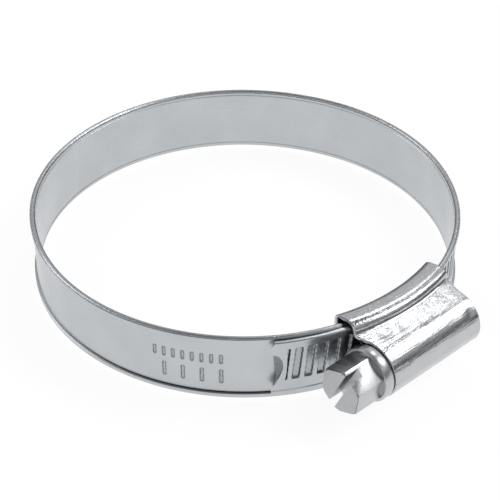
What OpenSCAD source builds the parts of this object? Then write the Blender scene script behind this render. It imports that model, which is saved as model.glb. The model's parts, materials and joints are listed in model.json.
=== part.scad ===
// Worm-drive hose clamp with a rolled-edge band, a wrap-round pressed housing and a slotted hex screw.
// The hose axis is Z, the origin is the middle of the hose bore, and the housing lies towards +X.
// The screw lies along Y with its head towards -Y. The clamp is drawn open.

/* [Hose and band] */
// Radius of the hose that the open clamp goes round
hose_r = 34.3; // [33.8:0.1:34.8]
// How far the open band's own centre lies from the hose axis, towards the housing
band_shift = 1.0; // [0.8:0.1:1.2]
// Width of the band
band_w = 12; // [11.8:0.1:12.2]
// Thickness of the band between its rolled edges
web_t = 0.6; // [0.5:0.05:0.65]
// Diameter of the rolled edges
bead_d = 1.0; // [0.9:0.05:1.1]

/* [Threaded end of the band] */
// Width of the free tail, which is slit narrower than the band
tail_w = 10; // [9:0.5:10.5]
// Angle on the band circle where the tail ends
tail_end = -37; // [-40:1:-32]
// Angle on the band circle where the stiff threaded end becomes free band
thread_end = 68; // [66:1:72]
// How much larger the threaded end's radius is than the band's
thread_lift = 1.09; // [1.05:0.01:1.2]
// Number of grooves that would fill a whole circle
grooves_per_turn = 114; // [112:1:116]
// Width of a pressed groove along the band
groove_w = 1.1; // [1.0:0.05:1.2]
// Length of a pressed groove across the band
groove_len = 5.6; // [5:0.1:6]
// Depth of a pressed groove
groove_depth = 0.4; // [0.35:0.05:0.45]
// How far the grooves sit above the middle of the band
groove_up = 1.2; // [0.8:0.1:1.4]

/* [Free band] */
// Angle on the band circle where the last link ends, just outside the mouth
mouth_angle = -21; // [-22:1:-20]
// Angle on the band circle where the rolled edges end, at the mouth
bead_end = -18.5; // [-19:0.5:-18]
// Angle on the band circle where the tongue ends, inside the mouth
tongue_end = -9; // [-11:1:-8]

/* [Housing] */
// Sheet thickness of the housing
sheet_t = 0.6; // [0.5:0.05:0.7]
// Angle about the hose axis where the saddle starts, on the head side
saddle_start = -18; // [-19:1:-17]
// Angle about the hose axis where the saddle ends
saddle_end = 15; // [14:1:16]
// Radial height of the pocket that holds both layers of band
pocket_h = 3.1; // [3.0:0.05:3.3]
// Side gap between the band and the pocket
pocket_gap = 0.25; // [0.2:0.05:0.4]
// Distance from the middle of the tunnel to its mouth, on the head side
tunnel_head = 9.9; // [9.5:0.1:10.2]
// Distance from the middle of the tunnel to its far end
tunnel_far = 9.2; // [8.8:0.1:9.5]

/* [Screw] */
// Outer radius of the worm thread
worm_r = 3.8; // [3.7:0.05:3.85]
// Radius of the worm's core
core_r = 3.0; // [2.8:0.1:3.1]
// How deep the worm thread reaches into the grooves
engage = 0.32; // [0.25:0.01:0.34]
// Axial pitch of the worm thread
worm_pitch = 2.0; // [1.98:0.01:2.02]
// Radial gap between the worm and the tunnel
worm_gap = 0.12; // [0.08:0.02:0.2]
// Radius of the collar under the head
collar_r = 4.5; // [4.3:0.1:4.6]
// Thickness of the collar
collar_t = 1.7; // [1.5:0.1:2]
// Gap between the collar and the tunnel's mouth
collar_gap = 0.35; // [0.3:0.05:0.5]
// Width of the hexagon across its flats
hex_af = 7; // [6.5:0.5:7.5]
// Length of the hexagon
hex_len = 5.4; // [5:0.1:6]
// How far the hexagon is turned about the screw's axis, in degrees
hex_turn = -22; // [-60:1:60]
// How far the slot is turned about the screw's axis, in degrees
slot_turn = 25; // [-90:1:90]
// Width of the screwdriver slot
slot_w = 1.3; // [1:0.1:1.5]
// Depth of the screwdriver slot
slot_depth = 2.6; // [2:0.1:3]

/* [Hidden] */
$fn = 64;

// The free band is cut into links: some between the threaded end and the stretch that lies on the
// hose, some on the hose, and some between the hose and the housing's mouth.
front_links = 2;
hose_links = 4;
back_links = 3;

// The band lies on the hose over this angle to each side of the point opposite the housing.
contact_half = 60;
contact_start = 180 - contact_half;
band_centre = [band_shift, 0];
contact_point = hose_r * [cos(contact_start), sin(contact_start)];
ring_r = norm(contact_point - band_centre);
// Angle on the band circle where the band meets the hose.
meet_angle = atan2(contact_point.y, contact_point.x - band_shift);
bead_r = bead_d / 2;

// The threaded end's circle touches the band circle from outside at thread_end.
thread_r = ring_r + thread_lift;
thread_centre = band_centre - thread_lift * [cos(thread_end), sin(thread_end)];
groove_step = 360 / grooves_per_turn;
first_groove = ceil((tail_end + 3) / groove_step);
last_groove = floor((thread_end - 6) / groove_step);

// Links that meet the stretch on the hose stop short by this angle, because the two circles cross there.
seam = 0.06;
// The inner layer is pressed flat inside the housing, as wide as the pocket's floor.
flat_w = band_w - 0.8;
anchor_start = 1;

// The saddle's inner skin clears the hose by this much.
skin_gap = 0.05;
skin_r = hose_r - skin_gap;
pocket_r = skin_r + sheet_t;
pocket_half = band_w / 2 + pocket_gap;
wrap_r = pocket_r + pocket_h + sheet_t;
wrap_half = pocket_half + sheet_t;
// Radii of the bends along the saddle's outer edges and in the corners of the pocket.
outer_bend = 0.9;
pocket_bend = 0.4;
// The pocket is cut this many degrees past both ends of the saddle.
pocket_overrun = 5;

// The screw's axis is parallel to Y, above the groove that lies square to it.
screw_x = thread_centre.x + thread_r + web_t - engage + worm_r;
screw_z = 0;
tunnel_bore = worm_r + worm_gap;
tunnel_r = tunnel_bore + sheet_t + 0.1;
// A lip closes the tunnel's far end round the screw's pilot.
far_lip = 0.8;
far_lip_r = core_r - 0.4;
pilot_gap = 0.1;
pilot_out = 0.3;
// Room round the collar where the saddle runs on past the tunnel's mouth.
collar_room = 0.3;
worm_half = 7.2;
collar_y = -tunnel_head - collar_gap;
head_y = collar_y - collar_t;
// The bearing under the collar fills the tunnel but for this gap, and ends this far from the worm.
bearing_gap = 0.05;
bearing_off = 0.6;
// Solids that join within one piece reach this far into each other.
join = 0.1;

// Cross-sections: X is outwards from the band's inner face, Y is across the band.
module band_section() {
    square_half = band_w / 2 - bead_r;
    translate([0, -square_half])
        square([web_t, 2 * square_half]);
    for (side = [-1, 1])
        translate([bead_r, side * square_half])
            circle(r = bead_r);
}

module tail_section() {
    translate([0, -tail_w / 2])
        square([web_t, tail_w]);
}

// Sweeps a section round a centre from one angle to another, with its inner face at radius r.
module arc_strip(centre, r, from, to) {
    translate([centre.x, centre.y, 0])
        rotate([0, 0, from])
            rotate_extrude(angle = to - from, $fn = 180)
                translate([r, 0])
                    children();
}

module rounded_box(x0, x1, half, r) {
    translate([x0 + r, -half])
        square([x1 - x0 - 2 * r, 2 * half]);
    translate([x0, -half + r])
        square([x1 - x0, 2 * half - 2 * r]);
    for (x = [x0 + r, x1 - r], side = [-1, 1])
        translate([x, side * (half - r)])
            circle(r = r);
}

// A cylinder parallel to Y on the screw's axis, between two places along Y.
module on_screw_axis(r, from, to, sides = 96) {
    translate([screw_x, to, screw_z])
        rotate([90, 0, 0])
            cylinder(r = r, h = to - from, $fn = sides);
}

// Housing: one pressed sheet that wraps both layers of band and rolls up into the tunnel.
module wrap(x0, x1, half, r, margin = 0) {
    arc_strip([0, 0], 0, saddle_start - margin, saddle_end + margin)
        rounded_box(x0, x1, half, r);
}

module housing() {
    color("gainsboro")
        difference() {
            union() {
                wrap(skin_r, wrap_r, wrap_half, outer_bend);
                on_screw_axis(tunnel_r, -tunnel_head, tunnel_far);
            }
            wrap(pocket_r, pocket_r + pocket_h, pocket_half, pocket_bend, margin = pocket_overrun);
            on_screw_axis(tunnel_bore, -tunnel_head - 1, tunnel_far - far_lip);
            on_screw_axis(far_lip_r, 0, tunnel_far + 1);
            on_screw_axis(collar_r + collar_room, -tunnel_head - hex_len, -tunnel_head);
        }
}

// One turn of the worm has this many steps.
thread_steps = 24;
thread_turns = 2 * worm_half / worm_pitch - 1;
thread_root_r = core_r - 0.3;
thread_root_half = 0.42;
thread_crest_half = 0.18;
// The crest faces the band at the height of the groove that lies square to the screw.
thread_phase = 360 * thread_centre.y / worm_pitch;

function thread_corner(angle, r, offset) =
    [r * sin(angle), worm_pitch * (angle / 360) + offset, r * cos(angle)];

function thread_ring(angle) = [
    thread_corner(angle, thread_root_r, -thread_root_half),
    thread_corner(angle, worm_r, -thread_crest_half),
    thread_corner(angle, worm_r, thread_crest_half),
    thread_corner(angle, thread_root_r, thread_root_half),
];

module worm_thread() {
    rings = ceil(thread_turns * thread_steps);
    start = -thread_turns * 180;
    points = [for (i = [0:rings]) each thread_ring(start + i * 360 / thread_steps)];
    sides = [
        for (i = [0:rings - 1], k = [0:3])
            [4 * i + k, 4 * i + (k + 1) % 4, 4 * i + 4 + (k + 1) % 4, 4 * i + 4 + k]
    ];
    ends = [[3, 2, 1, 0], [for (k = [0:3]) 4 * rings + k]];
    polyhedron(points = points, faces = concat(sides, ends), convexity = 10);
}

module worm_screw() {
    color("silver")
        difference() {
            union() {
                on_screw_axis(core_r, head_y, worm_half);
                on_screw_axis(far_lip_r - pilot_gap, worm_half - join, tunnel_far + pilot_out);
                on_screw_axis(collar_r, head_y, collar_y);
                on_screw_axis(tunnel_bore - bearing_gap, collar_y - join, -worm_half - bearing_off);
                translate([screw_x, 0, screw_z])
                    rotate([0, -90 - thread_phase, 0])
                        worm_thread();
                translate([screw_x, head_y + join, screw_z])
                    rotate([90, hex_turn, 0])
                        cylinder(d = hex_af / cos(30), h = hex_len + join, $fn = 6);
            }
            translate([screw_x, head_y - hex_len, screw_z])
                rotate([0, slot_turn, 0])
                    cube([slot_w, 2 * slot_depth, 3 * hex_af], center = true);
        }
}

// Threaded end: the outer layer, with grooves that the worm works in, and the free tail.
// The tail ends in a hollow arc between two lobes, slightly above the middle.
notch_r = 4.2;
notch_back = 4.2;
notch_up = 0.4;

module tail_notch() {
    translate([thread_centre.x, thread_centre.y, 0])
        rotate([0, 0, tail_end - notch_back])
            translate([thread_r - 1, 0, notch_up])
                rotate([0, 90, 0])
                    cylinder(r = notch_r, h = 1 + 2 * web_t);
}

module grooves() {
    floor_r = thread_r + web_t - groove_depth;
    for (i = [first_groove:last_groove])
        translate([thread_centre.x, thread_centre.y, 0])
            rotate([0, 0, i * groove_step])
                translate([floor_r, -groove_w / 2, groove_up - groove_len / 2])
                    cube([2 * groove_depth, groove_w, groove_len]);
}

module threaded_end() {
    wide_from = saddle_end - 3;
    color("lightgray")
        difference() {
            union() {
                arc_strip(thread_centre, thread_r, tail_end, wide_from + 1)
                    tail_section();
                arc_strip(thread_centre, thread_r, wide_from, thread_end)
                    band_section();
            }
            grooves();
            tail_notch();
        }
}

// Free band: short stiff links that stand in for the flexible strip, from the threaded end round
// to the housing's mouth.
function link_angle(i) =
    i < front_links ? thread_end + i * (meet_angle - thread_end) / front_links
    : i <= front_links + hose_links ? contact_start + (i - front_links) * 2 * contact_half / hose_links
    : 360 - meet_angle
        + (i - front_links - hose_links) * (mouth_angle + meet_angle) / back_links;

module band_link(i) {
    on_hose = i >= front_links && i < front_links + hose_links;
    from = i == front_links + hose_links ? 360 - meet_angle + seam : link_angle(i);
    to = i == front_links - 1 ? meet_angle - seam : link_angle(i + 1);
    color(i % 2 == 0 ? "lightsteelblue" : "lightgray")
        arc_strip(on_hose ? [0, 0] : band_centre, on_hose ? hose_r : ring_r, from, to)
            band_section();
}

module flat_section() {
    translate([0, -flat_w / 2])
        square([web_t, flat_w]);
}

// Tongue: the end of the inner layer, which slides inside the housing's mouth.
module band_tongue() {
    color("lightgray") {
        arc_strip(band_centre, ring_r, mouth_angle, bead_end)
            band_section();
        arc_strip(band_centre, ring_r, bead_end - 5 * join, tongue_end)
            flat_section();
    }
}

// Anchor end: the flattened stretch of the inner layer that is fixed in the pocket.
module anchor_end() {
    color("darkgray")
        arc_strip([0, 0], pocket_r, anchor_start, saddle_end)
            flat_section();
}

housing();
worm_screw();
threaded_end();
anchor_end();
band_link(0);  // band_link_01
band_link(1);  // band_link_02
band_link(2);  // band_link_03
band_link(3);  // band_link_04
band_link(4);  // band_link_05
band_link(5);  // band_link_06
band_link(6);  // band_link_07
band_link(7);  // band_link_08
band_link(8);  // band_link_09
band_tongue();
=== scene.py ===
"""Looks of a worm-drive hose clamp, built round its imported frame.

The clamp is a zinc-plated steel band with hemmed edges, a pressed housing that wraps both layers of
the band and rolls up into a tunnel, and a slotted hexagon worm screw. Sizes are in millimetres and
become metres when a mesh is finished.
"""

import json
import logging
import math
from collections.abc import Callable
from dataclasses import dataclass, field
from enum import Enum

import bmesh
import bpy
import numpy as np
from mathutils import Matrix, Vector


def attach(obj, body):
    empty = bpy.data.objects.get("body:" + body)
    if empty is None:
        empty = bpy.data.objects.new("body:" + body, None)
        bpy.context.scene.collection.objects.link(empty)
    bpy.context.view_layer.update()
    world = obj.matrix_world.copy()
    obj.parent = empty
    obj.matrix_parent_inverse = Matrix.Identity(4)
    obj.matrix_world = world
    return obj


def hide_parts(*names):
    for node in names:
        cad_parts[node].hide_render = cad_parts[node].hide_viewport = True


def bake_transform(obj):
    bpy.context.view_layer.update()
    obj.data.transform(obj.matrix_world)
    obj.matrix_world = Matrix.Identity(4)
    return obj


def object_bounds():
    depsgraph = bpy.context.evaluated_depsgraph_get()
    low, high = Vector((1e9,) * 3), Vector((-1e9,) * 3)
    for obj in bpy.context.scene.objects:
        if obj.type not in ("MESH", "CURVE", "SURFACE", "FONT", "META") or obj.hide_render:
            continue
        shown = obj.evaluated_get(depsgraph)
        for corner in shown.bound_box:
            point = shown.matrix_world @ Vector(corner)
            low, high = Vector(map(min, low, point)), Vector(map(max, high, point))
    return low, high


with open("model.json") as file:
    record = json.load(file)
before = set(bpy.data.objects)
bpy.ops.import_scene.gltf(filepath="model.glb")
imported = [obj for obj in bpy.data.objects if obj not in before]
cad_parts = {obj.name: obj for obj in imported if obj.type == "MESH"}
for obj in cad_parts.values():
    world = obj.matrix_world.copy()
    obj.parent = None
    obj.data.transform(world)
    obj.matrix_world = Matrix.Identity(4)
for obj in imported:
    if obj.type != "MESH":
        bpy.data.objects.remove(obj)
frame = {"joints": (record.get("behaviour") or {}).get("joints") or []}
CAD_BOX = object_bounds()

MM = 0.001
UV_SPAN = 100.0  # millimetres of surface in one unit of a UV map
MATH = "ShaderNodeMath"
log = logging.getLogger("hose_clamp")

Tree = bpy.types.NodeTree
Node = bpy.types.Node
Socket = bpy.types.NodeSocket
Object = bpy.types.Object
Mesh = bpy.types.Mesh
Material = bpy.types.Material
Rows = tuple[tuple[str, str, dict | None, dict], ...]


# ---------------------------------------------------------------------------------------------
# Small tools
# ---------------------------------------------------------------------------------------------


def linear(colour: str) -> tuple[float, float, float, float]:
    """Turns an sRGB hex colour into linear light.

    Args:
        colour: The colour as "#rrggbb".

    Returns:
        Red, green, blue and an alpha of one.
    """
    parts = [int(colour[i : i + 2], 16) / 255 for i in (1, 3, 5)]
    r, g, b = (c / 12.92 if c <= 0.04045 else ((c + 0.055) / 1.055) ** 2.4 for c in parts)
    return r, g, b, 1.0


def add_node(tree: Tree, kind: str, settings: dict | None = None, links: dict | None = None) -> Node:
    """Adds a node to a tree.

    Args:
        tree: The node tree.
        kind: The node's type name.
        settings: Properties of the node and their values.
        links: Inputs by name or number, each with a socket to link or a plain value.

    Returns:
        The new node.
    """
    node = tree.nodes.new(kind)
    for name, value in (settings or {}).items():
        setattr(node, name, value)
    for key, value in (links or {}).items():
        if isinstance(value, Socket):
            tree.links.new(value, node.inputs[key])
        else:
            node.inputs[key].default_value = value
    return node


def add_rows(tree: Tree, known: dict[str, Socket], rows: Rows) -> None:
    """Adds a table of nodes, and keeps each one's first result under its name.

    Args:
        tree: The node tree.
        known: Sockets by name. It grows with each row.
        rows: Each node's name, type name, settings, and inputs, which are values or names in known.
    """
    for name, kind, settings, inputs in rows:
        links = {key: known.get(value, value) for key, value in inputs.items()}
        known[name] = add_node(tree, kind, settings, links).outputs[0]


def geometry_tree(name: str, inputs: dict[str, str]) -> tuple[Tree, Node]:
    """Starts a Geometry Nodes tree with a geometry input and output and named inputs.

    Args:
        name: The tree's name.
        inputs: Socket types by input name.

    Returns:
        The tree and its input node.
    """
    tree = bpy.data.node_groups.new(name, "GeometryNodeTree")
    tree.interface.new_socket("Geometry", in_out="INPUT", socket_type="NodeSocketGeometry")
    for label, kind in inputs.items():
        tree.interface.new_socket(label, in_out="INPUT", socket_type=kind)
    tree.interface.new_socket("Geometry", in_out="OUTPUT", socket_type="NodeSocketGeometry")
    return tree, add_node(tree, "NodeGroupInput")


def end_tree(tree: Tree, group: Node, geometry: Socket) -> None:
    """Ends a tree in Realize Instances and Set Material, which takes the tree's Finish input.

    Args:
        tree: The tree.
        group: The tree's input node.
        geometry: The geometry that it makes.
    """
    real = add_node(tree, "GeometryNodeRealizeInstances", links={"Geometry": geometry})
    made = add_node(
        tree,
        "GeometryNodeSetMaterial",
        links={"Geometry": real.outputs["Geometry"], "Material": group.outputs["Finish"]},
    )
    add_node(tree, "NodeGroupOutput", links={"Geometry": made.outputs["Geometry"]})


def loose_object(
    name: str,
    points: np.ndarray,
    edges: list | None = None,
    faces: list | None = None,
) -> Object:
    """Makes an object from points in millimetres, for use by a tree or a modifier.

    Args:
        name: The object's name.
        points: Points as rows of x and y, or of x, y and z.
        edges: Pairs of point numbers.
        faces: Rings of point numbers.

    Returns:
        The object.
    """
    mesh = bpy.data.meshes.new(name)
    flat = np.zeros((len(points), 3))
    flat[:, : np.shape(points)[1]] = points
    mesh.from_pydata(flat.tolist(), edges or [], faces or [])
    made = bpy.data.objects.new(name, mesh)
    bpy.context.scene.collection.objects.link(made)
    return made


def grid_faces(rings: int, count: int, closed: bool) -> list[tuple[int, ...]]:
    """The quads between neighbouring rings of points.

    Args:
        rings: How many rings there are.
        count: Points in each ring.
        closed: Whether the last ring joins the first.

    Returns:
        The numbers of each quad's points.
    """
    quads = []
    for ring in range(rings if closed else rings - 1):
        here = ring * count
        there = (ring + 1) % rings * count
        for k in range(count):
            after = (k + 1) % count
            quads.append((here + k, here + after, there + after, there + k))
    return quads


def grow(obj: Object, tree: Tree, values: dict) -> Object:
    """Runs a Geometry Nodes tree on an object and keeps the result as its plain mesh.

    Args:
        obj: The object that holds the starting geometry.
        tree: The tree to run.
        values: The tree's inputs by name.

    Returns:
        The same object with its new mesh and no modifier.
    """
    modifier = obj.modifiers.new(tree.name, "NODES")
    modifier.node_group = tree
    for item in tree.interface.items_tree:
        if item.name in values and item.in_out == "INPUT":
            modifier[item.identifier] = values[item.name]
    return bake_modifiers(obj)


def bake_modifiers(obj: Object) -> Object:
    """Applies an object's modifiers by taking its evaluated mesh, and removes them.

    Args:
        obj: The object.

    Returns:
        The same object.
    """
    graph = bpy.context.evaluated_depsgraph_get()
    mesh = bpy.data.meshes.new_from_object(obj.evaluated_get(graph), depsgraph=graph)
    old = obj.data
    obj.modifiers.clear()
    obj.data = mesh
    bpy.data.meshes.remove(old)
    return obj


def discard(*objects: Object) -> None:
    """Removes helper objects and their meshes."""
    for obj in objects:
        mesh = obj.data
        bpy.data.objects.remove(obj)
        bpy.data.meshes.remove(mesh)


def coordinates(mesh: Mesh) -> np.ndarray:
    """The mesh's points as rows of x, y and z.

    Args:
        mesh: The mesh.

    Returns:
        One row for each point.
    """
    flat = np.zeros(len(mesh.vertices) * 3)
    mesh.vertices.foreach_get("co", flat)
    return flat.reshape(-1, 3)


def move_points(mesh: Mesh, points: np.ndarray) -> None:
    """Gives the mesh new places for its points."""
    mesh.vertices.foreach_set("co", points.astype(np.float32).ravel())
    mesh.update()


def lay_uv(mesh: Mesh, along: np.ndarray, across: np.ndarray) -> None:
    """Gives the mesh a UV map from two lengths in millimetres at each point.

    Args:
        mesh: The mesh.
        along: Length along the surface at each point.
        across: Length across it.
    """
    layer = mesh.uv_layers.new(name="surface")
    corner = np.zeros(len(mesh.loops), int)
    mesh.loops.foreach_get("vertex_index", corner)
    pairs = np.stack([along[corner], across[corner]], axis=1) / UV_SPAN
    layer.data.foreach_set("uv", pairs.astype(np.float32).ravel())


def note(mesh: Mesh, name: str, values: np.ndarray) -> None:
    """Stores a number at each point of a mesh, for its material to read."""
    layer = mesh.attributes.new(name, "FLOAT", "POINT")
    layer.data.foreach_set("value", values.astype(np.float32))


def finish_mesh(obj: Object, name: str, material: Material, crease_deg: float = 35.0) -> Object:
    """Turns a mesh in millimetres into a finished piece in metres.

    Args:
        obj: The object, at the origin.
        name: The piece's name.
        material: Its material.
        crease_deg: Edges sharper than this are drawn as creases.

    Returns:
        The finished object.
    """
    mesh = obj.data
    mesh.transform(Matrix.Scale(MM, 4))
    mesh.materials.clear()
    mesh.materials.append(material)
    mesh.polygons.foreach_set("use_smooth", [True] * len(mesh.polygons))
    mesh.set_sharp_from_angle(angle=math.radians(crease_deg))
    mesh.update()
    obj.name = name
    mesh.name = name
    return obj


def smoothstep(x: np.ndarray, low: float, high: float) -> np.ndarray:
    """Zero below low, one above high, and smooth between."""
    t = np.clip((x - low) / (high - low), 0, 1)
    return t * t * (3 - 2 * t)


# ---------------------------------------------------------------------------------------------
# Sizes that come from the frame
# ---------------------------------------------------------------------------------------------


def joint_place(name: str) -> np.ndarray:
    """Where a joint's axis passes, in millimetres."""
    found = next(j for j in frame["joints"] if j["name"] == name)
    return np.array(found["pos_m"]) / MM


def circle_through(a: np.ndarray, b: np.ndarray, c: np.ndarray) -> tuple[np.ndarray, float]:
    """The circle through three points of the plane.

    Args:
        a: First point.
        b: Second point.
        c: Third point.

    Returns:
        The centre and the radius.
    """
    rows = np.array([b - a, c - a])
    centre = np.linalg.solve(rows, np.array([(b @ b - a @ a) / 2, (c @ c - a @ a) / 2]))
    return centre, float(np.linalg.norm(a - centre))


@dataclass
class Layout:
    """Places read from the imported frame, in millimetres and degrees."""

    flex_count: int = 10
    hinges: np.ndarray = field(init=False)
    band_centre: np.ndarray = field(init=False)
    band_r: float = field(init=False)
    thread_centre: np.ndarray = field(init=False)
    thread_r: float = field(init=False)
    hose_r: float = field(init=False)
    screw_x: float = field(init=False)

    def __post_init__(self) -> None:
        """Reads the joints and the hose bore."""
        self.hinges = np.array([joint_place(f"flex_{k:02d}")[:2] for k in range(1, self.flex_count + 1)])
        self.band_centre, self.band_r = circle_through(self.hinges[0], self.hinges[1], self.hinges[-1])
        self.thread_centre = joint_place("band_feed")[:2]
        self.thread_r = float(np.linalg.norm(self.hinges[0] - self.thread_centre))
        self.hose_r = float(-self.hinges[:, 0].min())
        self.screw_x = float(joint_place("screw_turn")[0])

    def inner_face(self, angle: np.ndarray) -> np.ndarray:
        """The free band's inner face at angles about the hose axis.

        Args:
            angle: Angles in radians.

        Returns:
            Points as rows of x and y. The band lies on the hose at the back and eases off it.
        """
        shift = self.band_centre[0]
        free = shift * np.cos(angle) + np.sqrt(self.band_r**2 - (shift * np.sin(angle)) ** 2)
        ease = 0.02
        gap = free - self.hose_r
        r = self.hose_r + (gap + np.sqrt(gap * gap + ease * ease)) / 2
        return np.stack([r * np.cos(angle), r * np.sin(angle)], axis=1)

    def angle_of(self, point: np.ndarray) -> float:
        """A point's angle about the hose axis, from 0 to a full turn, in radians."""
        return float(np.arctan2(point[1], point[0]) % (2 * math.pi))


LAYOUT = Layout()


# ---------------------------------------------------------------------------------------------
# Finishes
# ---------------------------------------------------------------------------------------------


class Grain(Enum):
    """What a finish's pattern follows."""

    STRIP = "strip"
    DRAWN = "drawn"
    TURNED = "turned"


@dataclass(frozen=True)
class ZincFinish:
    """Bright zinc plating on steel: a cool grey metal, even from afar and finely streaked close to.

    Streaks lie along the way the metal was rolled, drawn or turned. Specks are 0.3 mm, coarser than
    the real crystals, so that they show at all.
    """

    name: str
    grain: Grain
    light: str = "#c6c9cc"
    dark: str = "#a2a6aa"
    # Colour of the painted shade in the hems' gaps and pressed marks, and of the screw head's darker end.
    shade_and_tone: str = "#26282a"
    roughness: float = 0.3
    rough_spread: float = 0.05
    streak_mm: float = 0.3
    streak_stretch: float = 20.0
    streak_share: float = 0.12
    mottle_mm: float = 8.0
    speck_mm: float = 0.35
    bump_mm: float = 0.004
    wave_mm: float = 0.0
    rim_bump_mm: float = 0.05
    # Strength of the painted shade on the walls of pressed marks.
    outline: float = 0.6

    def build(self) -> Material:
        """Builds the material.

        Returns:
            A material with a Principled BSDF driven by streaks, mottling and fine specks, and shade
            painted into the hems' gaps and pressed marks.
        """
        material = bpy.data.materials.new(self.name)
        material.use_nodes = True
        tree = material.node_tree
        tree.nodes.clear()
        known = self._known(tree)
        lowest = self.roughness - self.rough_spread
        highest = self.roughness + self.rough_spread
        spread = {"From Min": 0.3, "From Max": 0.7, "To Min": lowest, "To Max": highest}
        streaks = self.streak_share
        base = 0.5 - streaks
        rim_bump = self.rim_bump_mm * MM
        rows = (
            ("streaked", MATH, {"operation": "MULTIPLY_ADD"}, {0: "streak", 1: streaks, 2: base}),
            ("share", MATH, {"operation": "MULTIPLY_ADD"}, {0: "mottle", 1: 0.6, 2: "streaked"}),
            ("rough", "ShaderNodeMapRange", None, {"Value": "streak", **spread}),
            ("height", MATH, {"operation": "MULTIPLY_ADD"}, {0: "streak", 1: streaks, 2: "speck"}),
            ("fine", "ShaderNodeBump", None, {"Height": "height", "Distance": self.bump_mm * MM}),
            ("glint", MATH, {"operation": "MULTIPLY"}, {0: "speck", 1: "hem"}),
            ("rim", "ShaderNodeBump", None, {"Height": "glint", "Distance": rim_bump, "Normal": "fine"}),
        )
        add_rows(tree, known, rows)
        normal = known["rim"]
        if self.wave_mm > 0:
            waves = self.wave_mm * MM
            rows = (
                ("free", MATH, {"operation": "SUBTRACT"}, {0: 1.0, 1: "calm"}),
                ("swell", MATH, {"operation": "MULTIPLY_ADD"}, {0: "streak", 1: 0.3, 2: "mottle"}),
                ("wave", MATH, {"operation": "MULTIPLY"}, {0: "swell", 1: "free"}),
                ("wavy", "ShaderNodeBump", None, {"Height": "wave", "Distance": waves, "Normal": "rim"}),
            )
            add_rows(tree, known, rows)
            normal = known["wavy"]
        links = {
            "Base Color": self._colour(tree, known),
            "Metallic": 1.0,
            "Roughness": known["rough"],
            "Normal": normal,
        }
        shader = add_node(tree, "ShaderNodeBsdfPrincipled", links=links)
        add_node(tree, "ShaderNodeOutputMaterial", links={"Surface": shader.outputs["BSDF"]})
        return material

    def _known(self, tree: Tree) -> dict[str, Socket]:
        """Adds the patterns and the marks that the finish is made from.

        Args:
            tree: The material's tree.

        Returns:
            Sockets by name: streaks, mottling and specks, and the marks stored on the mesh.
        """
        known = {}
        # gap_shade and pressed mark where the colour paints shade, and the screw head's end; hem and calm
        # only shape the bumps.
        for name in ("pressed", "gap_shade", "hem", "calm"):
            known[name] = add_node(tree, "ShaderNodeAttribute", {"attribute_name": name}).outputs["Fac"]
        place = add_node(tree, "ShaderNodeTexCoord")
        spots = place.outputs["Object"]
        turned = self.grain is Grain.TURNED
        # Turned marks run round the screw's axis; strip and drawn marks run along the sheet.
        source = spots if turned else place.outputs["UV"]
        links = {"Vector": source, "Scale": (1.0, self.streak_stretch, 1.0)}
        streaks = add_node(tree, "ShaderNodeMapping", links=links).outputs["Vector"]
        per_unit = 1.0 / MM if turned else UV_SPAN
        patterns = (
            ("streak", streaks, per_unit / self.streak_mm / self.streak_stretch, 3.0),
            ("mottle", spots, 1.0 / self.mottle_mm / MM, 2.0),
            ("speck", spots, 1.0 / self.speck_mm / MM, 2.0),
        )
        for name, where, scale, detail in patterns:
            links = {"Vector": where, "Scale": scale, "Detail": detail}
            known[name] = add_node(tree, "ShaderNodeTexNoise", links=links).outputs["Fac"]
        return known

    def _colour(self, tree: Tree, known: dict[str, Socket]) -> Socket:
        """Mixes the metal's two greys, and paints shade into the hems' gaps and the walls of whatever is
        pressed in.

        Args:
            tree: The material's tree.
            known: The patterns and the marks.

        Returns:
            The colour.
        """
        rows = (
            # Painted shade in pressed marks: dark walls and a slightly darker floor. The same mark also
            # darkens the screw head's end.
            ("level", MATH, {"operation": "SUBTRACT"}, {0: 1.0, 1: "pressed"}),
            ("edge", MATH, {"operation": "MULTIPLY"}, {0: "pressed", 1: "level"}),
            ("outlined", MATH, {"operation": "MULTIPLY"}, {0: "edge", 1: 4.0 * self.outline}),
            ("hollow", MATH, {"operation": "MULTIPLY_ADD"}, {0: "pressed", 1: 0.18, 2: "outlined"}),
            ("uneven", MATH, {"operation": "MULTIPLY_ADD"}, {0: "speck", 1: 1.2, 2: 0.4}),
            # Painted shade in the hems' gaps.
            ("gap_shade_share", MATH, {"operation": "MULTIPLY"}, {0: "gap_shade", 1: 0.8}),
            (
                "shade_and_tone_share",
                MATH,
                {"operation": "MULTIPLY_ADD", "use_clamp": True},
                {0: "hollow", 1: "uneven", 2: "gap_shade_share"},
            ),
        )
        add_rows(tree, known, rows)
        colour: Socket | tuple = linear(self.dark)
        for share, other in (("share", self.light), ("shade_and_tone_share", self.shade_and_tone)):
            links = {"Factor": known[share], 6: colour, 7: linear(other)}
            colour = add_node(tree, "ShaderNodeMix", {"data_type": "RGBA"}, links).outputs[2]
        return colour


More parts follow.
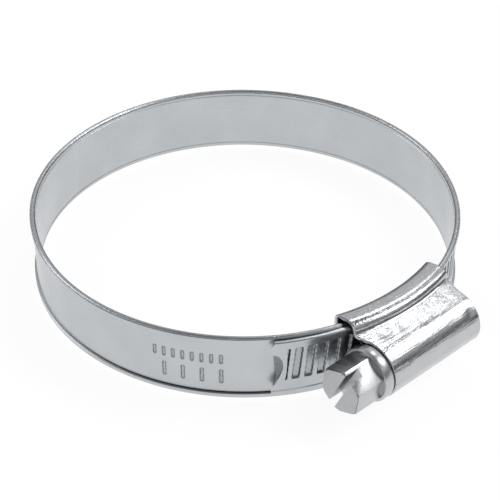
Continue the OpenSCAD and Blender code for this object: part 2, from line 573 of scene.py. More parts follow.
@dataclass
class Finishes:
    """The clamp's materials."""

    band: Material = field(init=False)
    tail: Material = field(init=False)
    housing: Material = field(init=False)
    screw: Material = field(init=False)

    def __post_init__(self) -> None:
        """Builds each material once."""
        # Rolled strip, barrel plated: satin grey with faint marks along the band.
        self.band = ZincFinish("zinc_plated_strip", Grain.STRIP).build()
        self.tail = ZincFinish("zinc_plated_tail", Grain.STRIP).build()
        # Deep-pressed sheet, plated bright: a near mirror whose soft waves break up its highlights.
        self.housing = ZincFinish(
            "zinc_plated_pressing",
            Grain.DRAWN,
            light="#c9cbcd",
            dark="#aeb1b3",
            roughness=0.13,
            rough_spread=0.04,
            streak_share=0.5,
            speck_mm=0.26,
            bump_mm=0.035,
            mottle_mm=3.5,
            wave_mm=0.1,
        ).build()
        # Cold-headed steel, plated bright: smooth flats with marks that run round the axis.
        self.screw = ZincFinish(
            "zinc_plated_turning",
            Grain.TURNED,
            light="#c4c6c8",
            dark="#a8abad",
            streak_share=0.1,
        ).build()


# ---------------------------------------------------------------------------------------------
# Strips: the band, its threaded end and the tongue
# ---------------------------------------------------------------------------------------------


@dataclass(frozen=True)
class HemmedEdge:
    """The cross-section of the band, whose edges are hemmed outwards into beads."""

    width: float = 12.0
    web: float = 0.6
    bead_r: float = 0.5
    leg: float = 0.45
    gap: float = 0.16
    gap_depth: float = 0.2
    scratch: float = 0.06
    web_step: float = 0.5

    @property
    def foot(self) -> float:
        """Where the hem's leg ends, from the middle of the band."""
        return self.width / 2 - self.bead_r - self.leg

    def outline(self, web_step: float | None = None) -> np.ndarray:
        """The closed outline, anticlockwise, with x outwards from the inner face and y across.

        Args:
            web_step: Spacing of points across the outer face.

        Returns:
            Points as rows of x and y.
        """
        centre = self.width / 2 - self.bead_r
        foot = self.foot
        crown = 2 * self.bead_r
        edge = [
            (self.web, foot - self.gap),
            (self.web - self.gap_depth, foot - 0.7 * self.gap),
            (self.web - self.gap_depth, foot - 0.2 * self.gap),
            (crown - 0.1, foot),
            (crown - 0.02, foot + 0.06),
            (crown, foot + 0.14),
            (crown, centre - 0.02),
        ]
        for degrees in (12, 22):
            edge.append(self._on_bead(centre, degrees))
        groove = self._on_bead(centre, 30)
        edge.append((groove[0] - self.scratch, groove[1] - self.scratch))
        for degrees in range(38, 171, 12):
            edge.append(self._on_bead(centre, degrees))
        edge += [
            (0.0, centre),
            (0.0, foot + 0.16),
            (self.scratch, foot + 0.08),
            (0.0, foot),
        ]
        top = np.array(edge)
        low = top[::-1] * np.array([1.0, -1.0])
        step = web_step or self.web_step
        count = max(3, int(round(2 * (foot - self.gap) / step)))
        web = np.linspace(-(foot - self.gap), foot - self.gap, count + 1)[1:-1]
        face = np.stack([np.full_like(web, self.web), web], axis=1)
        back = np.array([(0.0, y) for y in (foot / 2, 0.0, -foot / 2)])
        return np.concatenate([face, top, back, low])

    def _on_bead(self, centre: float, degrees: float) -> tuple[float, float]:
        """A point of the bead at an angle from outwards."""
        a = math.radians(degrees)
        return self.bead_r + self.bead_r * math.cos(a), centre + self.bead_r * math.sin(a)


@dataclass(frozen=True)
class FlatEdge:
    """The cross-section of a flat strip with softened edges and, if wanted, low lips along them."""

    low: float
    high: float
    thick: float = 0.6
    corner: float = 0.12
    lip_w: float = 0.0
    lip_h: float = 0.0

    def outline(self, web_step: float = 0.5) -> np.ndarray:
        """The closed outline, anticlockwise, with x outwards and y across.

        Args:
            web_step: Spacing of points across the outer face.

        Returns:
            Points as rows of x and y.
        """
        corner = self.corner
        thick = self.thick
        inset = 0.3 * corner
        edge_in = self.lip_w if self.lip_h > 0 else corner
        count = max(3, int(round((self.high - self.low - 2 * edge_in) / web_step)))
        across = np.linspace(self.low + edge_in, self.high - edge_in, count + 1)
        face = [(thick, y) for y in across]
        top = [(thick - inset, self.high - inset), (thick - corner, self.high)]
        if self.lip_h > 0:
            top = [
                (thick + self.lip_h * 0.8, self.high - self.lip_w + 0.12),
                (thick + self.lip_h, self.high - self.lip_w / 2),
                (thick + self.lip_h * 0.6, self.high - 0.1),
                (thick - 0.1, self.high),
            ]
        top += [(corner, self.high), (0.0, self.high - corner)]
        low = [(x, self.low + self.high - y) for x, y in reversed(top)]
        back = [(0.0, y) for y in np.linspace(self.high, self.low, 5)[1:-1]]
        return np.array([*face, *top, *back, *low])


def sweep_tree() -> Tree:
    """Builds the tree that sweeps a closed outline along a flat path and closes both ends.

    Returns:
        The tree.
    """
    inputs = {"Outline": "NodeSocketObject", "Finish": "NodeSocketMaterial"}
    tree, group = geometry_tree("sweep_along_path", inputs)
    path = add_node(tree, "GeometryNodeMeshToCurve", links={"Mesh": group.outputs["Geometry"]})
    links = {"Curve": path.outputs["Curve"]}
    upright = add_node(tree, "GeometryNodeSetCurveNormal", {"mode": "Z_UP"}, links)
    source = add_node(tree, "GeometryNodeObjectInfo", links={"Object": group.outputs["Outline"]})
    outline = add_node(tree, "GeometryNodeMeshToCurve", links={"Mesh": source.outputs["Geometry"]})
    links = {
        "Curve": upright.outputs["Curve"],
        "Profile Curve": outline.outputs["Curve"],
        "Fill Caps": True,
    }
    swept = add_node(tree, "GeometryNodeCurveToMesh", links=links)
    end_tree(tree, group, swept.outputs["Mesh"])
    return tree


def press_tree() -> Tree:
    """Builds the tree that presses a row of equal slots into a strip's outer face.

    The row's slots are spaced along the strip by a pitch, lean by a slant, and have soft walls.

    Returns:
        The tree.
    """
    sizes = ("Centre X", "Centre Y", "Face R", "From", "To", "Pitch")
    sizes += ("Width", "Length", "Depth", "Wall", "Up", "Slant")
    inputs = {**dict.fromkeys(sizes, "NodeSocketFloat"), "Finish": "NodeSocketMaterial"}
    tree, group = geometry_tree("pressed_row", inputs)
    known = {name: group.outputs[name] for name in sizes}
    place = add_node(tree, "GeometryNodeInputPosition").outputs[0]
    known |= dict(zip("xyz", add_node(tree, "ShaderNodeSeparateXYZ", links={0: place}).outputs))
    number = {"data_type": "FLOAT"}
    before = add_node(tree, "GeometryNodeInputNamedAttribute", number, {"Name": "pressed"})
    known["before"] = before.outputs["Attribute"]
    soft_step = {"interpolation_type": "SMOOTHSTEP"}
    walls = {"From Min": "wall_foot", "From Max": "wall_top"}
    rows = (
        # The point's place along the strip and across it.
        ("dx", MATH, {"operation": "SUBTRACT"}, {0: "x", 1: "Centre X"}),
        ("dy", MATH, {"operation": "SUBTRACT"}, {0: "y", 1: "Centre Y"}),
        ("angle", MATH, {"operation": "ARCTAN2"}, {0: "dy", 1: "dx"}),
        ("dy_squared", MATH, {"operation": "MULTIPLY"}, {0: "dy", 1: "dy"}),
        ("squared", MATH, {"operation": "MULTIPLY_ADD"}, {0: "dx", 1: "dx", 2: "dy_squared"}),
        ("radius", MATH, {"operation": "SQRT"}, {0: "squared"}),
        ("height", MATH, {"operation": "SUBTRACT"}, {0: "z", 1: "Up"}),
        ("arc", MATH, {"operation": "MULTIPLY"}, {0: "angle", 1: "Face R"}),
        ("along", MATH, {"operation": "MULTIPLY_ADD"}, {0: "height", 1: "Slant", 2: "arc"}),
        # Distance from the nearest slot's middle. Whole pitches are added so that it counts up from zero.
        ("counted", MATH, {"operation": "MULTIPLY_ADD"}, {0: "Pitch", 1: 240.0, 2: "along"}),
        ("half_pitch", MATH, {"operation": "MULTIPLY"}, {0: "Pitch", 1: 0.5}),
        ("to_slot", MATH, {"operation": "PINGPONG"}, {0: "counted", 1: "half_pitch"}),
        # How far the point lies inside the slot's sides and ends, with soft walls.
        ("half_width", MATH, {"operation": "MULTIPLY"}, {0: "Width", 1: 0.5}),
        ("half_length", MATH, {"operation": "MULTIPLY"}, {0: "Length", 1: 0.5}),
        ("off_middle", MATH, {"operation": "ABSOLUTE"}, {0: "height"}),
        ("side", MATH, {"operation": "SUBTRACT"}, {0: "half_width", 1: "to_slot"}),
        ("end", MATH, {"operation": "SUBTRACT"}, {0: "half_length", 1: "off_middle"}),
        ("wall_foot", MATH, {"operation": "MULTIPLY"}, {0: "Wall", 1: -0.5}),
        ("wall_top", MATH, {"operation": "MULTIPLY"}, {0: "Wall", 1: 0.5}),
        ("in_side", "ShaderNodeMapRange", soft_step, {"Value": "side", **walls}),
        ("in_end", "ShaderNodeMapRange", soft_step, {"Value": "end", **walls}),
        # Only the outer face is pressed, and only within the row's stretch.
        ("start", MATH, {"operation": "GREATER_THAN"}, {0: "along", 1: "From"}),
        ("stop", MATH, {"operation": "LESS_THAN"}, {0: "along", 1: "To"}),
        ("under_face", MATH, {"operation": "SUBTRACT"}, {0: "Face R", 1: 0.05}),
        ("on_face", MATH, {"operation": "GREATER_THAN"}, {0: "radius", 1: "under_face"}),
        ("slot", MATH, {"operation": "MULTIPLY"}, {0: "in_side", 1: "in_end"}),
        ("slot_from", MATH, {"operation": "MULTIPLY"}, {0: "slot", 1: "start"}),
        ("slot_to", MATH, {"operation": "MULTIPLY"}, {0: "slot_from", 1: "stop"}),
        ("mask", MATH, {"operation": "MULTIPLY"}, {0: "slot_to", 1: "on_face"}),
        ("both", MATH, {"operation": "MAXIMUM"}, {0: "mask", 1: "before"}),
        # The way the point moves: straight towards the arc's centre.
        ("outward", "ShaderNodeCombineXYZ", None, {"X": "dx", "Y": "dy"}),
        ("unit", "ShaderNodeVectorMath", {"operation": "NORMALIZE"}, {0: "outward"}),
        ("sunk", MATH, {"operation": "MULTIPLY"}, {0: "mask", 1: "Depth"}),
        ("push", MATH, {"operation": "MULTIPLY"}, {0: "sunk", 1: -1.0}),
        ("shift", "ShaderNodeVectorMath", {"operation": "SCALE"}, {0: "unit", "Scale": "push"}),
    )
    add_rows(tree, known, rows)
    links = {"Geometry": group.outputs["Geometry"], "Name": "pressed", "Value": known["both"]}
    number["domain"] = "POINT"
    noted = add_node(tree, "GeometryNodeStoreNamedAttribute", number, links).outputs["Geometry"]
    moved = add_node(tree, "GeometryNodeSetPosition", links={"Geometry": noted, "Offset": known["shift"]})
    end_tree(tree, group, moved.outputs["Geometry"])
    return tree


@dataclass(frozen=True)
class PressedRow:
    """A row of equal slots pressed into a strip, placed along the strip's outer face in millimetres."""

    start: float
    stop: float
    pitch: float
    width: float
    length: float
    depth: float
    wall: float = 0.25
    up: float = 0.0
    slant: float = 0.0


@dataclass
class StripMaker:
    """Sweeps strips, presses rows of slots into them and gives them their finish."""

    sweep: Tree = field(default_factory=sweep_tree)
    press: Tree = field(default_factory=press_tree)

    def strip(self, path: np.ndarray, outline: np.ndarray, material: Material) -> Object:
        """Sweeps an outline along a path.

        Args:
            path: Points of the inner face as rows of x and y.
            outline: The closed cross-section.
            material: The finish.

        Returns:
            The swept object, in millimetres.
        """
        base = loose_object("path", path, edges=[(i, i + 1) for i in range(len(path) - 1)])
        count = len(outline)
        loop = [(i, (i + 1) % count) for i in range(count)]
        shape = loose_object("outline", outline * np.array([1.0, -1.0]), edges=loop)
        made = grow(base, self.sweep, {"Outline": shape, "Finish": material})
        discard(shape)
        return made

    def press_row(
        self,
        obj: Object,
        row: PressedRow,
        centre: np.ndarray,
        face_r: float,
        material: Material,
    ) -> None:
        """Presses a row of slots into a strip's outer face.

        Args:
            obj: The strip, in millimetres.
            row: The slots.
            centre: Centre of the strip's arc.
            face_r: Radius of the strip's outer face.
            material: The finish.
        """
        values = {
            "Centre X": float(centre[0]),
            "Centre Y": float(centre[1]),
            "Face R": face_r,
            "From": row.start,
            "To": row.stop,
            "Pitch": row.pitch,
            "Width": row.width,
            "Length": row.length,
            "Depth": row.depth,
            "Wall": row.wall,
            "Up": row.up,
            "Slant": row.slant,
            "Finish": material,
        }
        grow(obj, self.press, values)

    def finish(
        self,
        obj: Object,
        name: str,
        material: Material,
        centre: np.ndarray,
        section: HemmedEdge | None = None,
        inner_r: Callable[[np.ndarray], np.ndarray] | None = None,
    ) -> Object:
        """Gives a strip its UV map, the marks that its finish reads, and its finish.

        Args:
            obj: The strip, in millimetres.
            name: The piece's name.
            material: The finish.
            centre: Centre of the strip's arc.
            section: The cross-section, if its edges are hemmed.
            inner_r: Radius of the strip's inner face at an angle about the centre.

        Returns:
            The finished piece.
        """
        points = coordinates(obj.data)
        away = points[:, :2] - centre
        turn = np.arctan2(away[:, 1], away[:, 0]) % (2 * math.pi)
        if turn.max() - turn.min() > math.pi:
            turn = np.where(turn > math.pi, turn - 2 * math.pi, turn)
        lay_uv(obj.data, turn * LAYOUT.band_r, points[:, 2])
        if section is not None:
            off = np.abs(points[:, 2])
            reach = np.linalg.norm(away, axis=1) - inner_r(turn)
            in_gap = np.abs(off - section.foot + section.gap / 2) < 0.4 * section.gap
            # Shade is painted into the hems' gaps: faint over most of the ring, full where the band runs
            # up to the mouth.
            gap_shade_strength = 0.15 + 0.85 * smoothstep(np.degrees(turn) % 360, 270.0, 290.0)
            note(obj.data, "gap_shade", (in_gap & (reach > 0.3)) * gap_shade_strength)
            note(obj.data, "hem", smoothstep(off, section.foot - 0.1, section.foot + 0.3))
        finish_mesh(obj, name, material)
        join_normals(obj.data, centre * MM)
        return obj


def join_normals(mesh: Mesh, centre: np.ndarray) -> None:
    """Squares the shading normals at a strip's ends to its run, so that neighbours meet unseen.

    Args:
        mesh: The finished strip.
        centre: Centre of the strip's arc, in metres.
    """
    # Only the end caps have more than four corners.
    sizes = np.array([p.loop_total for p in mesh.polygons])
    cap_faces = np.nonzero(sizes > 4)[0]
    corner = np.zeros(len(mesh.loops), int)
    mesh.loops.foreach_get("vertex_index", corner)
    owner = np.repeat(np.arange(len(sizes)), sizes)
    border = set(corner[np.isin(owner, cap_faces)].tolist())
    on_border = np.array([v in border for v in corner.tolist()]) & ~np.isin(owner, cap_faces)
    loop_normals = np.zeros(len(mesh.loops) * 3)
    mesh.corner_normals.foreach_get("vector", loop_normals)
    loop_normals = loop_normals.reshape(-1, 3)
    away = coordinates(mesh)[corner][:, :2] - centre
    run = np.stack([-away[:, 1], away[:, 0], np.zeros(len(corner))], axis=1)
    run /= np.linalg.norm(run, axis=1, keepdims=True)
    squared = loop_normals - (loop_normals * run).sum(1, keepdims=True) * run
    squared /= np.maximum(np.linalg.norm(squared, axis=1, keepdims=True), 1e-6)
    result = np.where(on_border[:, None], squared, loop_normals)
    mesh.normals_split_custom_set(result.tolist())


@dataclass
class FreeBand:
    """The flexible band from the threaded end to the housing's mouth, in stretches that meet midway
    between its hinges.
    """

    maker: StripMaker
    finishes: Finishes
    section: HemmedEdge = field(default_factory=HemmedEdge)
    step: float = 0.5
    marked_step: float = 0.12
    marked_web_step: float = 0.2
    bead_end_deg: float = -18.5
    tongue_end_deg: float = -9.0
    tongue_w: float = 11.2
    marks_from_deg: float = -67.0
    marks_to_deg: float = -48.0

    def build(self) -> list[Object]:
        """Builds the skin pieces and the tongue.

        Returns:
            The finished pieces.
        """
        borders = self._borders()
        pieces = []
        for k in range(1, LAYOUT.flex_count + 1):
            start, end = borders[k - 1], borders[k]
            piece = self._skin(f"band_skin_{k:02d}", start, end)
            if k < LAYOUT.flex_count:
                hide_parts(f"band_link_{k:02d}")
            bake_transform(piece)
            pieces.append(piece)
        pieces.append(self._tongue(borders[-1]))
        return pieces

    def _borders(self) -> list[float]:
        """Angles about the hose axis of the first hinge, the middle of each link and the hems' end.

        Returns:
            The angles in radians, in order.
        """
        turns = [LAYOUT.angle_of(h) for h in LAYOUT.hinges]
        middles = [(a + b) / 2 for a, b in zip(turns, turns[1:])]
        return [turns[0], *middles, self._about_hose(self.bead_end_deg)]

    def _about_hose(self, band_deg: float) -> float:
        """Turns an angle on the band circle into one about the hose axis, in radians."""
        a = math.radians(band_deg)
        return LAYOUT.angle_of(LAYOUT.band_centre + LAYOUT.band_r * np.array([math.cos(a), math.sin(a)]))

    def _marks(self) -> list[PressedRow]:
        """Rows of plain stamped ticks, long ones among short ones.

        Returns:
            The rows.
        """
        face_r = LAYOUT.band_r + self.section.web
        start, stop = (math.radians(d) * face_r for d in (self.marks_from_deg, self.marks_to_deg))
        return [
            PressedRow(start, stop, pitch=1.5, width=0.45, length=1.6, depth=0.12, wall=0.3, up=1.5),
            PressedRow(start, stop, pitch=3.0, width=0.5, length=2.6, depth=0.12, wall=0.3, up=-1.9),
        ]

    def _skin(self, name: str, start: float, end: float) -> Object:
        """Builds one stretch of the band.

        Args:
            name: The piece's name.
            start: Where it starts, about the hose axis.
            end: Where it ends.

        Returns:
            The finished piece.
        """
        low, high = (self._about_hose(d) for d in (self.marks_from_deg, self.marks_to_deg))
        marked = start < high and end > low
        step = self.marked_step if marked else self.step
        count = max(4, int(round((end - start) * LAYOUT.band_r / step)))
        path = LAYOUT.inner_face(np.linspace(start, end, count + 1))
        outline = self.section.outline(self.marked_web_step if marked else None)
        made = self.maker.strip(path, outline, self.finishes.band)
        if marked:
            for row in self._marks():
                face_r = LAYOUT.band_r + self.section.web
                self.maker.press_row(made, row, LAYOUT.band_centre, face_r, self.finishes.band)
        return self.maker.finish(made, name, self.finishes.band, np.zeros(2), self.section, self._inner_r)

    def _inner_r(self, turn: np.ndarray) -> np.ndarray:
        """Radius of the free band's inner face at angles about the hose axis."""
        return np.linalg.norm(LAYOUT.inner_face(turn), axis=1)

    def _tongue(self, start: float) -> Object:
        """Builds the flat end of the inner layer, inside the housing.

        Args:
            start: Where it starts, about the hose axis.

        Returns:
            The finished piece.
        """
        end = self._about_hose(self.tongue_end_deg)
        path = LAYOUT.inner_face(np.linspace(start, end, 24))
        flat = FlatEdge(-self.tongue_w / 2, self.tongue_w / 2)
        made = self.maker.strip(path, flat.outline(), self.finishes.tail)
        piece = self.maker.finish(made, "tongue", self.finishes.tail, np.zeros(2))
        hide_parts("band_tongue")
        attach(piece, "band_tongue")
        return piece


@dataclass
class ThreadedEnd:
    """The outer layer of the band: the notched tail, the grooves and the run up to the first hinge."""

    maker: StripMaker
    finishes: Finishes
    section: HemmedEdge = field(default_factory=HemmedEdge)
    step: float = 0.1
    web_step: float = 0.16
    tail_low: float = -4.5
    tail_high: float = 5.7
    tail_end_deg: float = -35.0
    wide_from_deg: float = 12.0
    join_deg: float = 1.0
    grooves_per_turn: float = 114.0
    groove_w: float = 1.1
    groove_len: float = 5.8
    groove_depth: float = 0.4
    groove_up: float = 1.2
    groove_lean: float = -0.1
    notch_run: float = 2.6

    def build(self) -> list[Object]:
        """Builds the tail and the wide run.

        Returns:
            The finished pieces.
        """
        hinge = LAYOUT.hinges[0] - LAYOUT.thread_centre
        wide_to = math.degrees(math.atan2(hinge[1], hinge[0]))
        tail = self._run(self.tail_end_deg, self.wide_from_deg + self.join_deg, self._tail_outline())
        self._grooves(tail, self.tail_end_deg + 3.6, self.wide_from_deg)
        self._notch(tail)
        wide = self._run(self.wide_from_deg, wide_to, self.section.outline(self.web_step))
        self._grooves(wide, self.wide_from_deg, wide_to - 6.0)
        pieces = []
        runs = (
            (tail, "notched_tail", self.finishes.tail, None),
            (wide, "threaded_run", self.finishes.band, self.section),
        )
        for made, name, finish, section in runs:
            piece = self.maker.finish(made, name, finish, LAYOUT.thread_centre, section, self._inner_r)
            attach(piece, "threaded_end")
            pieces.append(piece)
        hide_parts("threaded_end")
        return pieces

    def _inner_r(self, turn: np.ndarray) -> np.ndarray:
        """Radius of the inner face at angles about the threaded end's centre."""
        return np.full_like(turn, LAYOUT.thread_r)

    def _tail_outline(self) -> np.ndarray:
        """The tail's cross-section, with low lips along its edges."""
        return FlatEdge(self.tail_low, self.tail_high, lip_w=0.75, lip_h=0.14).outline(self.web_step)

    def _run(self, from_deg: float, to_deg: float, outline: np.ndarray) -> Object:
        """Sweeps a cross-section round the threaded end's circle.

        Args:
            from_deg: Where the run starts.
            to_deg: Where it ends.
            outline: The closed cross-section.

        Returns:
            The swept object, in millimetres.
        """
        turn = np.radians([from_deg, to_deg])
        count = int(round((turn[1] - turn[0]) * LAYOUT.thread_r / self.step))
        angle = np.linspace(turn[0], turn[1], count + 1)
        circle = np.stack([np.cos(angle), np.sin(angle)], axis=1)
        path = LAYOUT.thread_centre + LAYOUT.thread_r * circle
        return self.maker.strip(path, outline, self.finishes.tail)

    def _grooves(self, obj: Object, from_deg: float, to_deg: float) -> None:
        """Presses the worm's grooves between two angles.

        Args:
            obj: The strip, in millimetres.
            from_deg: Where the row starts.
            to_deg: Where it ends.
        """
        face_r = LAYOUT.thread_r + self.section.web
        pitch = 2 * math.pi * face_r / self.grooves_per_turn
        start, stop = (math.radians(d) * face_r for d in (from_deg, to_deg))
        row = PressedRow(
            start,
            stop,
            pitch,
            width=self.groove_w,
            length=self.groove_len,
            depth=self.groove_depth,
            wall=0.3,
            up=self.groove_up,
            slant=self.groove_lean,
        )
        self.maker.press_row(obj, row, LAYOUT.thread_centre, face_r, self.finishes.tail)

    def _setback(self, z: np.ndarray) -> np.ndarray:
        """How far the tail's end stands back at each height: two lobes with a hollow between them.

        Args:
            z: Heights.

        Returns:
            The distance back along the strip at each height.
        """
        heights = [self.tail_low, -4.1, -3.5, -2.4, -1.0, 0.6, 2.0, 3.0, 3.6, 5.0, self.tail_high]
        setback = [0.8, 0.1, 0.0, 0.7, 1.4, 1.9, 1.8, 1.2, 0.0, 0.05, 0.7]
        return np.interp(z, heights, setback)

    def _notch(self, obj: Object) -> None:
        """Shapes the tail's end by drawing points back along the strip.

        Args:
            obj: The tail, in millimetres.
        """
        points = coordinates(obj.data)
        away = points[:, :2] - LAYOUT.thread_centre
        angle = np.arctan2(away[:, 1], away[:, 0])
        run = (angle - math.radians(self.tail_end_deg)) * LAYOUT.thread_r
        share = np.clip(1 - run / self.notch_run, 0, 1)
        angle = angle + share * self._setback(points[:, 2]) / LAYOUT.thread_r
        reach = np.linalg.norm(away, axis=1)
        points[:, 0] = LAYOUT.thread_centre[0] + reach * np.cos(angle)
        points[:, 1] = LAYOUT.thread_centre[1] + reach * np.sin(angle)
        move_points(obj.data, points)


# ---------------------------------------------------------------------------------------------
# Housing
# ---------------------------------------------------------------------------------------------


# Where the half section's stretches end: tube, flank, crease, shoulder, side, corner, underside.
SECTION_STOPS = (28, 40, 44, 58, 66, 73, 82)


@dataclass(frozen=True)
class Skin:
    """One side of the housing's sheet: the saddle's box and the tunnel's tube, in millimetres."""

    r_in: float
    r_out: float
    half: float
    shoulder: float
    corner: float
    tube_r: float
    flank_z: float
    crease: float

    def section(self, y: np.ndarray, axis_x: float, fade: np.ndarray) -> tuple[np.ndarray, np.ndarray]:
        """The half section on the +Z side, from the tube's crown to the saddle's underside.

        Args:
            y: Place along the screw's axis for each point, one column for each point of the section.
            axis_x: Distance of the screw's axis from the hose axis.
            fade: How strong the crease is at each row.

        Returns:
            x and z of the points, shaped like y.
        """
        tube, flank, crease, shoulder, side, corner, under = SECTION_STOPS
        x = np.zeros_like(y)
        z = np.zeros_like(y)
        foot_x = self._from_axis(self.r_out, y[:, :tube]) + 0.25
        turn = np.linspace(0, 1, tube) * self._tangent(foot_x - axis_x)
        x[:, :tube] = axis_x + self.tube_r * np.cos(turn)
        z[:, :tube] = self.tube_r * np.sin(turn)

        foot_x = self._from_axis(self.r_out, y[:, tube:flank]) + 0.25
        tangent = self._tangent(foot_x - axis_x)
        start_x = axis_x + self.tube_r * np.cos(tangent)
        start_z = self.tube_r * np.sin(tangent)
        share = np.linspace(0, 1, flank - tube + 1)[1:]
        x[:, tube:flank] = start_x + (foot_x - start_x) * share
        z[:, tube:flank] = start_z + (self.flank_z - start_z) * share

        # The crease is a narrow fold between the flank and the shoulder.
        level = np.array([0.16, 0.06, 0.02, 0.0])
        drop = self.crease * fade * np.array([0.55, 1.0, 0.75, 0.3])
        x[:, flank:crease] = self._from_axis(self.r_out, y[:, flank:crease]) + level - drop
        z[:, flank:crease] = self.flank_z + np.array([0.05, 0.16, 0.3, 0.42])

        top = self.flank_z + 0.46
        bend = np.linspace(0, math.pi / 2, shoulder - crease)
        r = self.r_out - self.shoulder * (1 - np.cos(bend))
        x[:, crease:shoulder] = self._from_axis(r, y[:, crease:shoulder])
        z[:, crease:shoulder] = top + (self.half - top) * np.sin(bend)

        r = np.linspace(self.r_out - self.shoulder, self.r_in + self.corner, side - shoulder + 1)[1:]
        x[:, shoulder:side] = self._from_axis(r, y[:, shoulder:side])
        z[:, shoulder:side] = self.half

        bend = np.linspace(0, math.pi / 2, corner - side + 1)[1:]
        r = self.r_in + self.corner * (1 - np.sin(bend))
        x[:, side:corner] = self._from_axis(r, y[:, side:corner])
        z[:, side:corner] = self.half - self.corner * (1 - np.cos(bend))

        share = np.linspace(0, 1, under - corner + 1)[1:]
        x[:, corner:under] = self._from_axis(self.r_in, y[:, corner:under])
        z[:, corner:under] = (self.half - self.corner) * (1 - share)
        return x, z

    def _from_axis(self, r: float | np.ndarray, y: np.ndarray) -> np.ndarray:
        """Distance from the YZ plane, at y, of the cylinder of radius r about the hose axis."""
        return np.sqrt(r**2 - y**2)

    def _tangent(self, away: np.ndarray) -> np.ndarray:
        """Angle about the screw's axis at which a flank leaves the tube for a foot that far from it."""
        to_foot = np.hypot(away, self.flank_z)
        return np.arctan2(self.flank_z, away) - np.arccos(np.clip(self.tube_r / to_foot, -1, 1))


@dataclass
class Housing:
    """The pressed housing: one sheet that wraps the band and rolls up into the tunnel over the screw."""

    maker: StripMaker
    finishes: Finishes
    sheet: float = 0.6
    pocket_h: float = 3.1
    half: float = 6.85
    shoulder: float = 1.75
    corner: float = 1.25
    inner_shoulder: float = 0.6
    inner_corner: float = 0.2
    tube_r: float = 4.62
    flank_z: float = 4.95
    crease: float = 0.16
    mouth_y: float = -10.6
    end_deg: float = 15.0
    rise_from: float = 37.0
    rise_to: float = 40.2
    tunnel_head: float = 9.9
    tunnel_far: float = 9.2
    rows: int = 84
    lip_t: float = 0.8
    lip_r: float = 2.65

    def build(self) -> list[Object]:
        """Builds the sheet, the lip that closes the tunnel's far end, and the fixed inner layer.

        Returns:
            The finished pieces.
        """
        pieces = [self._shell(), self._lip(), self._anchor()]
        for piece, slot in zip(pieces, ("zinc_housing", "zinc_housing", "zinc_band")):
            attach(piece, "housing")
        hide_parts("housing")
        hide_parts("anchor_end")
        return pieces

    def _skins(self) -> tuple[Skin, Skin]:
        """The outer and inner sides of the sheet.

        Returns:
            The outer side and the inner side.
        """
        r_in = LAYOUT.hose_r - 0.05
        t = self.sheet
        r_out = r_in + self.pocket_h + 2 * t
        outer = Skin(
            r_in=r_in,
            r_out=r_out,
            half=self.half,
            shoulder=self.shoulder,
            corner=self.corner,
            tube_r=self.tube_r,
            flank_z=self.flank_z,
            crease=self.crease,
        )
        inner = Skin(
            r_in=r_in + t,
            r_out=r_out - t,
            half=self.half - t,
            shoulder=self.inner_shoulder,
            corner=self.inner_corner,
            tube_r=self.tube_r - t,
            flank_z=self.flank_z - t,
            crease=0.0,
        )
        return outer, inner

    def _ends(self, x: np.ndarray) -> tuple[np.ndarray, np.ndarray]:
        """Where the sheet starts and ends along Y at a distance x: square at the mouth, radial beyond.

        Args:
            x: Distance from the hose axis along X.

        Returns:
            Y of the start and of the end.
        """
        tube = smoothstep(x, self.rise_from, self.rise_to)
        start = self.mouth_y + (-self.tunnel_head - self.mouth_y) * tube
        end = x * math.tan(math.radians(self.end_deg)) * (1 - tube) + self.tunnel_far * tube
        return start, end

    def _loft(self, skin: Skin) -> np.ndarray:
        """Points of one side of the sheet.

        Args:
            skin: The side's sizes.

        Returns:
            An array of rows along Y, points round the section, and x, y and z.
        """
        share = 0.5 - 0.5 * np.cos(np.linspace(0, math.pi, self.rows))
        share = 0.5 * share + 0.5 * np.linspace(0, 1, self.rows)
        fade = smoothstep(share, 0.04, 0.2) * smoothstep(-share, -0.97, -0.82)
        x = np.full((self.rows, SECTION_STOPS[-1]), 39.0)
        z = np.zeros_like(x)
        for _ in range(6):
            start, end = self._ends(x)
            y = start + (end - start) * share[:, None]
            x, z = skin.section(y, LAYOUT.screw_x, fade[:, None])
        half = np.stack([x, y, z], axis=2)
        mirror = half[:, ::-1] * np.array([1.0, 1.0, -1.0])
        return np.concatenate([half, mirror[:, 1:-1]], axis=1)

    def _dents(self, points: np.ndarray) -> np.ndarray:
        """Presses the soft hollows that the forming tool leaves in the flank and at the far end.

        Args:
            points: The outer side's points.

        Returns:
            The points with the hollows in them.
        """
        # Place along the screw, distance from the hose axis, height, size and depth of each.
        hollows = (
            (-6.6, 39.6, 4.8, 1.3, 0.16),
            (-3.4, 40.0, 4.8, 1.2, 0.12),
            (7.9, 43.9, 3.0, 0.8, 0.12),
        )
        for y, x, z, size, depth in hollows:
            for side in (1, -1):
                away = points - np.array([x, y, side * z])
                share = np.exp(-(away**2).sum(2) / size**2)
                to_axis = np.stack(
                    [LAYOUT.screw_x - points[..., 0], np.zeros(points.shape[:2]), -points[..., 2]], axis=2
                )
                to_axis /= np.maximum(np.linalg.norm(to_axis, axis=2, keepdims=True), 1e-6)
                points = points + to_axis * (share * depth)[..., None]
        return points

    def _shell(self) -> Object:
        """Builds the sheet as a closed shell with rounded rims.

        Returns:
            The finished piece.
        """
        outer_skin, inner_skin = self._skins()
        outer = self._dents(self._loft(outer_skin))
        inner = self._loft(inner_skin)
        count = outer.shape[1]
        rim_start = self._rim(inner[0], outer[0], -1.0)
        rim_end = self._rim(outer[-1], inner[-1], 1.0)
        loops = [*outer, *rim_end, *inner[::-1], *rim_start]
        points = np.concatenate(loops)
        faces = [quad[::-1] for quad in grid_faces(len(loops), count, closed=True)]
        made = loose_object("housing_sheet", points, faces=faces)
        lengths = np.linalg.norm(np.diff(outer[self.rows // 2], axis=0), axis=1)
        across = np.tile(np.concatenate([[0.0], np.cumsum(lengths)]), len(loops))
        lay_uv(made.data, points[:, 1], across)
